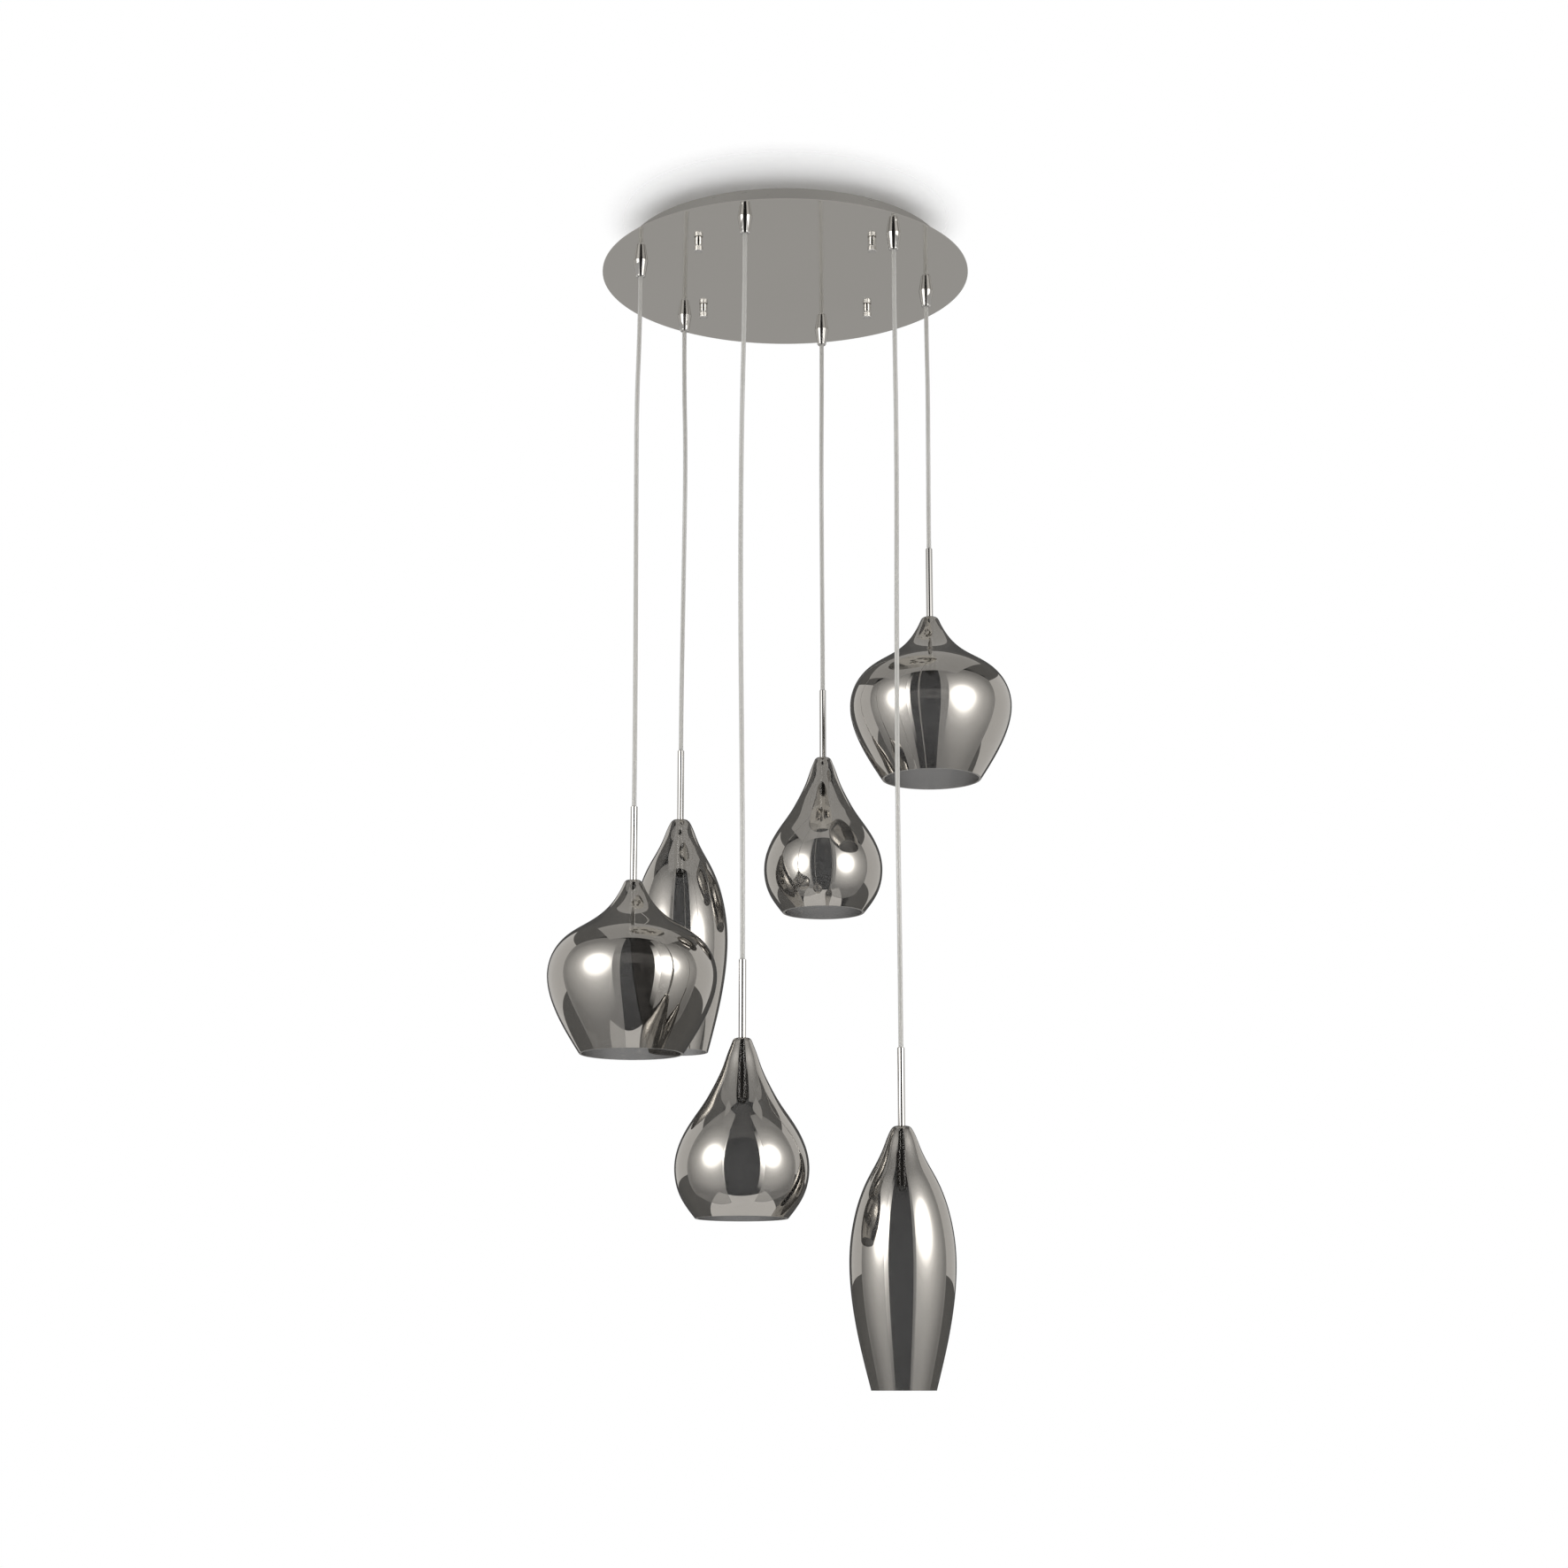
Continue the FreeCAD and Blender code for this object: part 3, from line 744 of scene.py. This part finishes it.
GLASS_FINISHES = [mirror_film(), inner_glass(), cut_rim()]
FILM, INNER, RIM = range(3)
print("glass:", [material.name for material in GLASS_FINISHES])

# %% Turn the six shades
MILLIMETRE = 0.001
GLASS_TOP_FLAT = 0.007
OUTLINE_STEPS = 120
GLASS_SIDES = 128
GLASS_CORNER = 35


def shade_outline(kind):
    """The closed outline of one glass wall, and the finish of each of its spans."""
    points = [(GLASS_TOP_FLAT, 0.0)] + [(r * MILLIMETRE, -d * MILLIMETRE) for d, r in OUTLINES[kind]]
    outer, tangents = natural_spline(points, OUTLINE_STEPS)
    inward = np.column_stack([tangents[:, 1], -tangents[:, 0]])
    inner = outer + inward * GLASS_WALL
    inner[0] = GLASS_TOP_FLAT, -GLASS_WALL
    inner[-1] = outer[-1][0] - GLASS_WALL / abs(tangents[-1][1]), outer[-1][1]
    hole = STEM_DIA / 2 + SLIP
    walls = [tuple(point) for point in outer] + [tuple(point) for point in inner[::-1]]
    zones = [FILM] * len(outer) + [RIM] + [INNER] * (len(inner) + 1)
    return [(hole, 0.0)] + walls + [(hole, -GLASS_WALL)], zones


for number, (_, kind, _) in PENDANTS.items():
    outline, zones = shade_outline(kind)
    glass = spin("glass_%s_%d" % (kind, number), outline, (*exit_of(number), glass_top(number)),
                 GLASS_FINISHES, zones, GLASS_SIDES, GLASS_CORNER)
    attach(glass, "pendant_%d" % number)
    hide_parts("shade_%d" % number)
    print(glass.name, "has", len(glass.data.polygons), "faces")

# %% [markdown]
# ## The studio
# The glass and the chrome show what stands round the lamp. Left and right of it, in a V that opens
# to the back, are two tall screens of diffusion cloth, and a big lamp glows through each of them.
# Between their near edges the camera looks in from the dark, and that gap is the black band down
# the middle of every shade. Past their far edges stand two bright side walls, which the glass
# mirrors as pale panels along its silhouette, and the rest of the room is dim. All of this is
# emitting sheets that only reflections can see, so none of it stands in the picture from another
# side, and the background is plain white for the eye.

# %% Greys by a value
def share_of(tree, value, low, high):
    """Where a value stands between low and high, from 0 to 1."""
    share = tree.nodes.new("ShaderNodeMapRange")
    share.inputs["From Min"].default_value = low
    share.inputs["From Max"].default_value = high
    tree.links.new(value, share.inputs["Value"])
    return share.outputs["Result"]


def grey_ramp(tree, share, stops):
    """A slightly warm grey for each share from 0 to 1, through the stops."""
    ramp = tree.nodes.new("ShaderNodeValToRGB")
    elements = ramp.color_ramp.elements
    while len(elements) > 1:
        elements.remove(elements[-1])
    for k, (at, grey) in enumerate(stops):
        element = elements[0] if k == 0 else elements.new(at)
        element.position = at
        element.color = (grey, grey * 0.985, grey * 0.96, 1)
    tree.links.new(share, ramp.inputs["Fac"])
    return ramp.outputs["Color"]


def combine(tree, operation, first, second):
    """A Math node on two values, each a number or another node's output."""
    node = tree.nodes.new("ShaderNodeMath")
    node.operation = operation
    for socket, value in zip(node.inputs, (first, second)):
        if isinstance(value, float):
            socket.default_value = value
        else:
            tree.links.new(value, socket)
    return node.outputs["Value"]


# %% World: white for the eye, a dim room for reflections, soft light for the rest
ROOM_FRONT, ROOM_BACK = -1.0, 1.0
ROOM_BY_DEPTH = [(0.0, 0.02), (0.425, 0.02), (0.5, 0.16), (0.80, 0.16), (1.0, 0.10)]
SOFT_LIGHT = (1, 1, 1, 1)
WHITE = (1, 1, 1, 1)


def room_world():
    world = bpy.data.worlds.new("studio_room")
    bpy.context.scene.world = world
    world.use_nodes = True
    tree = world.node_tree
    tree.nodes.clear()
    path = tree.nodes.new("ShaderNodeLightPath")
    where = tree.nodes.new("ShaderNodeTexCoord")
    split = tree.nodes.new("ShaderNodeSeparateXYZ")
    tree.links.new(where.outputs["Generated"], split.inputs["Vector"])
    depth = share_of(tree, split.outputs["Y"], ROOM_FRONT, ROOM_BACK)
    lit = tree.nodes.new("ShaderNodeMix")
    lit.data_type = "RGBA"
    lit.inputs["A"].default_value = SOFT_LIGHT
    tree.links.new(path.outputs["Is Glossy Ray"], lit.inputs["Factor"])
    tree.links.new(grey_ramp(tree, depth, ROOM_BY_DEPTH), lit.inputs["B"])
    around = tree.nodes.new("ShaderNodeBackground")
    tree.links.new(lit.outputs["Result"], around.inputs["Color"])
    white = tree.nodes.new("ShaderNodeBackground")
    white.inputs["Color"].default_value = WHITE
    mix = tree.nodes.new("ShaderNodeMixShader")
    seen = combine(tree, "MAXIMUM", path.outputs["Is Camera Ray"], path.outputs["Is Transmission Ray"])
    tree.links.new(seen, mix.inputs["Fac"])
    tree.links.new(around.outputs["Background"], mix.inputs[1])
    tree.links.new(white.outputs["Background"], mix.inputs[2])
    output = tree.nodes.new("ShaderNodeOutputWorld")
    tree.links.new(mix.outputs["Shader"], output.inputs["Surface"])
    return world


print("world:", room_world().name)

# %% Sheets of the studio
def sheet(name, corners, material, to_eye=False, to_matt=True, to_mirror=True):
    """A flat sheet that belongs to the studio, not to the lamp; the flags say which rays meet it."""
    mesh = bpy.data.meshes.new(name)
    mesh.from_pydata(corners, [], [tuple(range(len(corners)))])
    mesh.materials.append(material)
    piece = bpy.data.objects.new(name, mesh)
    bpy.context.scene.collection.objects.link(piece)
    piece.visible_camera = to_eye
    piece.visible_diffuse = to_matt
    piece.visible_glossy = to_mirror
    return piece


def upright(name, start, end, low, top, material):
    """An upright sheet over a line on the floor plan, for mirrors only."""
    return sheet(name, [(*start, low), (*end, low), (*end, top), (*start, top)], material, to_matt=False)


def level(name, low, high, z, material, face_down=False, **flags):
    """A level sheet between two corners on the floor plan."""
    corners = [(low[0], low[1], z), (high[0], low[1], z), (high[0], high[1], z), (low[0], high[1], z)]
    return sheet(name, corners[::-1] if face_down else corners, material, **flags)


# %% Light that a sheet gives
WARM = (1.0, 0.985, 0.96, 1)


def empty_material(name):
    material = bpy.data.materials.new(name)
    material.use_nodes = True
    tree = material.node_tree
    tree.nodes.clear()
    return material, tree, tree.nodes.new("ShaderNodeOutputMaterial")


def plain_light(name, strength):
    material, tree, output = empty_material(name)
    glow = tree.nodes.new("ShaderNodeEmission")
    glow.inputs["Color"].default_value = WARM
    glow.inputs["Strength"].default_value = strength
    tree.links.new(glow.outputs["Emission"], output.inputs["Surface"])
    return material


def distance_to(tree, centre):
    """How far the surface is from a place in the room."""
    place = tree.nodes.new("ShaderNodeNewGeometry")
    away = tree.nodes.new("ShaderNodeVectorMath")
    away.operation = "DISTANCE"
    away.inputs[1].default_value = centre
    tree.links.new(place.outputs["Position"], away.inputs[0])
    return away.outputs["Value"]


# %% [markdown]
# ## Screens and lamps
# A screen's cloth is brightest a little above its middle and lets some light through from behind. The
# lamp behind it is a flat glow that turns its face to the pendants: a small hot core, a soft fall
# round it, and a long faint skirt. Through the cloth it becomes the bright spot on each shoulder of
# a shade. Its near end is cut off before the gap, so that the black band keeps a clean edge.

# %% Screen cloth and lamp glow
SCREEN_TOP = 0.45
SCREEN_LOW = -2.3
CLOTH_BY_HEIGHT = [(0.0, 0.24), (0.30, 0.36), (0.50, 0.42), (0.72, 0.42), (1.0, 0.32)]
CLOTH_OPEN = 0.40
GLOW_AT = (1.45, -1.35, -0.64)
GLOW_REACH = 2.3
GLOW_BY_DISTANCE = [(0.0, 1.0), (0.16, 0.95), (0.26, 0.62), (0.33, 0.30), (0.41, 0.17), (0.54, 0.09),
                    (0.77, 0.035), (1.0, 0.0)]


def screen_cloth():
    material, tree, output = empty_material("screen_cloth")
    place = tree.nodes.new("ShaderNodeNewGeometry")
    split = tree.nodes.new("ShaderNodeSeparateXYZ")
    tree.links.new(place.outputs["Position"], split.inputs["Vector"])
    rise = share_of(tree, split.outputs["Z"], SCREEN_LOW, SCREEN_TOP)
    glow = tree.nodes.new("ShaderNodeEmission")
    tree.links.new(grey_ramp(tree, rise, CLOTH_BY_HEIGHT), glow.inputs["Color"])
    weave = tree.nodes.new("ShaderNodeBsdfTransparent")
    weave.inputs["Color"].default_value = (CLOTH_OPEN, CLOTH_OPEN, CLOTH_OPEN, 1)
    both = tree.nodes.new("ShaderNodeAddShader")
    tree.links.new(glow.outputs["Emission"], both.inputs[0])
    tree.links.new(weave.outputs["BSDF"], both.inputs[1])
    tree.links.new(both.outputs["Shader"], output.inputs["Surface"])
    return material


def lamp_glow(name, centre, strength):
    material, tree, output = empty_material(name)
    away = share_of(tree, distance_to(tree, centre), 0.0, GLOW_REACH)
    glow = tree.nodes.new("ShaderNodeEmission")
    glow.inputs["Strength"].default_value = strength
    tree.links.new(grey_ramp(tree, away, GLOW_BY_DISTANCE), glow.inputs["Color"])
    tree.links.new(glow.outputs["Emission"], output.inputs["Surface"])
    return material


CLOTH = screen_cloth()
print("cloth:", CLOTH.name)

# %% Stand them left and right
SCREEN_NEAR = (0.33, -0.685)
SCREEN_FAR = (1.86, 0.24)
GLOW_STRENGTH = {"left": 10.0, "right": 11.0}
GLOW_TO_GAP = 0.70
WALL_NEAR = (1.87, 0.25)
WALL_FAR = (1.10, 1.70)
WALL_TOP = 0.40
WALL_LOW = -1.42
WALL_GLOW = 0.78

glow_x, glow_y, glow_z = GLOW_AT
glow_along = Vector((-glow_y, glow_x)).normalized()
glow_start = Vector((glow_x, glow_y)) - glow_along * GLOW_TO_GAP
glow_end = Vector((glow_x, glow_y)) + glow_along * GLOW_REACH


def flipped(point, sign):
    """The same place on the right (1) or on the left (-1)."""
    return sign * point[0], point[1]


for side, sign in (("left", -1), ("right", 1)):
    upright("screen_" + side, flipped(SCREEN_NEAR, sign), flipped(SCREEN_FAR, sign), SCREEN_LOW, SCREEN_TOP,
            CLOTH)
    upright("glow_" + side, flipped(glow_start, sign), flipped(glow_end, sign), glow_z - GLOW_REACH,
            glow_z + GLOW_REACH,
            lamp_glow("lamp_glow_" + side, (*flipped(GLOW_AT, sign), glow_z), GLOW_STRENGTH[side]))
    upright("side_wall_" + side, flipped(WALL_NEAR, sign), flipped(WALL_FAR, sign), WALL_LOW, WALL_TOP,
            plain_light("side_wall_" + side, WALL_GLOW))
    print("a screen, a lamp and a wall on the", side)

# %% [markdown]
# ## Ceiling, floor and lamps
# The lamp hangs from a white board, which the picture shows only as the soft shadow round the
# canopy. The board therefore fades out for the eye a little way from the plate, and is one-sided,
# so that a look from above is not blocked. Mirrors don't see the board but an even grey sheet in its
# place, which is the pale band on the shoulders of the shades. A pale floor lies far below, out of
# the picture. Mirrors don't see it either, but a glowing strip under and behind the lamp: a painted
# pool of light, brightest under the lamp and dimmer further out, which is what the big plate shows.

# %% Paint for the ceiling and the floor
SHADOW_AT = (0, -0.11, 0)
FADE_FROM = 0.15
FADE_TO = 0.25


def near_to(tree, centre, full, gone):
    """1 within a distance of a place in the room, falling softly to 0 further out."""
    fade = tree.nodes.new("ShaderNodeMapRange")
    fade.interpolation_type = "SMOOTHSTEP"
    fade.inputs["From Min"].default_value = full
    fade.inputs["From Max"].default_value = gone
    fade.inputs["To Min"].default_value = 1.0
    fade.inputs["To Max"].default_value = 0.0
    tree.links.new(distance_to(tree, centre), fade.inputs["Value"])
    return fade.outputs["Result"]


def white_paint(name):
    material, tree, shader = finish(name, Roughness=0.9)
    tints(tree, noise(tree, scale=2.0), (0.88, 0.88, 0.88), (0.92, 0.92, 0.92), shader.inputs["Base Color"])
    return material, tree, shader


def ceiling_paint():
    """White paint that is open to the camera away from the shadow, and open from above."""
    material, tree, shader = white_paint("ceiling_paint")
    path = tree.nodes.new("ShaderNodeLightPath")
    side = tree.nodes.new("ShaderNodeNewGeometry")
    far = combine(tree, "SUBTRACT", 1.0, near_to(tree, SHADOW_AT, FADE_FROM, FADE_TO))
    gone = combine(tree, "MULTIPLY", far, path.outputs["Is Camera Ray"])
    clear = combine(tree, "MAXIMUM", gone, side.outputs["Backfacing"])
    open_air = tree.nodes.new("ShaderNodeBsdfTransparent")
    mix = tree.nodes.new("ShaderNodeMixShader")
    tree.links.new(clear, mix.inputs["Fac"])
    tree.links.new(shader.outputs["BSDF"], mix.inputs[1])
    tree.links.new(open_air.outputs["BSDF"], mix.inputs[2])
    tree.links.new(mix.outputs["Shader"], tree.nodes["Material Output"].inputs["Surface"])
    return material


CEILING_PAINT = ceiling_paint()
FLOOR_PAINT = white_paint("floor_paint")[0]
print("paints:", CEILING_PAINT.name, "and", FLOOR_PAINT.name)

# %% Ceiling and floor
CEILING_Z = 0.0005
BOARD_LOW, BOARD_HIGH = (-0.62, -0.45), (0.62, 0.45)
CEILING_GLOW = 0.50
FLOOR_Z = -2.5
FLOOR_LOW, FLOOR_HIGH = (-3.0, -3.0), (3.0, 3.0)
PATCH_LOW, PATCH_HIGH = (-1.1, -1.1), (1.1, 9.0)
PATCH_ABOVE_FLOOR = 0.01
PATCH_GLOW = 0.95
PATCH_FAR_GLOW = 0.45
PATCH_FULL = 1.0
PATCH_GONE = 3.0


def patch_light():
    material, tree, output = empty_material("floor_patch")
    glow = tree.nodes.new("ShaderNodeEmission")
    glow.inputs["Color"].default_value = WARM
    # Painted pool of light: the strip glows brighter under the lamp and dimmer further out.
    painted_pool = near_to(tree, (0, 0, FLOOR_Z), PATCH_FULL, PATCH_GONE)
    between(tree, painted_pool, PATCH_FAR_GLOW, PATCH_GLOW, glow.inputs["Strength"])
    tree.links.new(glow.outputs["Emission"], output.inputs["Surface"])
    return material


level("ceiling_board", BOARD_LOW, BOARD_HIGH, CEILING_Z, CEILING_PAINT, face_down=True, to_eye=True,
      to_mirror=False)
level("ceiling_shade", BOARD_LOW, BOARD_HIGH, CEILING_Z, plain_light("ceiling_shade", CEILING_GLOW),
      to_matt=False)
level("floor", FLOOR_LOW, FLOOR_HIGH, FLOOR_Z, FLOOR_PAINT, to_eye=True, to_mirror=False)
level("floor_patch", PATCH_LOW, PATCH_HIGH, FLOOR_Z + PATCH_ABOVE_FLOOR, patch_light(), to_matt=False)
print("ceiling at", CEILING_Z, "and floor at", FLOOR_Z)

# %% [markdown]
# ## Key lamps
# Two soft square lamps give the matt pieces their light: the cords, the ceiling and the parts in
# the canopy. Chrome and glass don't mirror them, because they already mirror the lamps behind the
# screens, and a second pair of bright spots beside those would be wrong.

# %% Soft key lamps
KEY_AT = (1.8, -1.8, -0.9)
KEY_AIM = (0, 0, -0.8)
KEY_SIZE = 1.2
KEY_POWER = {"left": 9, "right": 11}


def softbox(name, at, power):
    """A square lamp that lights the pendants and isn't seen, neither by the eye nor in a mirror."""
    lamp = bpy.data.lights.new(name, "AREA")
    lamp.shape = "SQUARE"
    lamp.size = KEY_SIZE
    lamp.energy = power
    holder = bpy.data.objects.new(name, lamp)
    holder.location = at
    holder.rotation_euler = (Vector(KEY_AIM) - Vector(at)).to_track_quat("-Z", "Y").to_euler()
    holder.visible_camera = False
    holder.visible_glossy = False
    bpy.context.scene.collection.objects.link(holder)


for side, sign in (("left", -1), ("right", 1)):
    softbox("key_" + side, (sign * KEY_AT[0], KEY_AT[1], KEY_AT[2]), KEY_POWER[side])
    print("key lamp on the", side, "at", KEY_POWER[side], "W")
